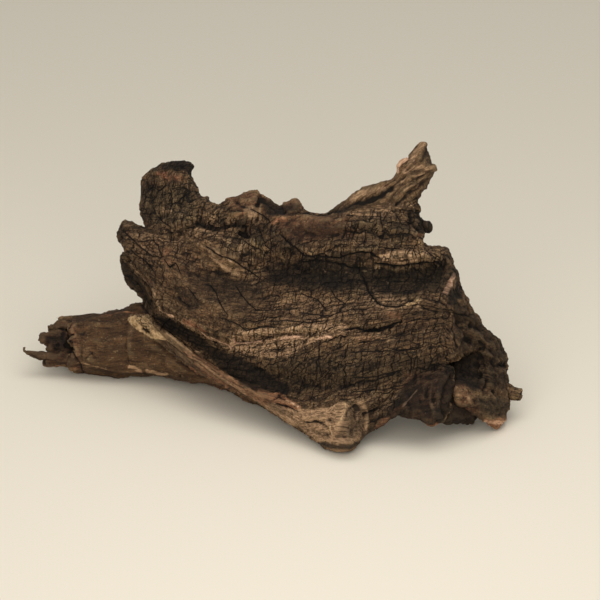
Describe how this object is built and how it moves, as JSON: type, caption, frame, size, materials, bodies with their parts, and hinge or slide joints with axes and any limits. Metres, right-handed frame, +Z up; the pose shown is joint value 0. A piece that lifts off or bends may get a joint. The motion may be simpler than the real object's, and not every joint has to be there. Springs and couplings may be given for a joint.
{
  "type": "piece of driftwood",
  "caption": "Natural piece of weathered driftwood: a cracked root flare leaning over a broken limb, with a blunt horn, a pointed horn and torn root lobes.",
  "frame": {"origin": "on the table, under the middle of the bounding box", "axes": "+X from the broken end of the limb to the dead stub at the right, +Y away from the cracked face, +Z up"},
  "size_m": [0.4578, 0.2618, 0.2428],
  "materials": {
    "weathered_wood": "bare weathered wood, dull, checked along and across the grain"
  },
  "bodies": {
    "root": {"driftwood": "weathered_wood"}
  },
  "joints": []
}
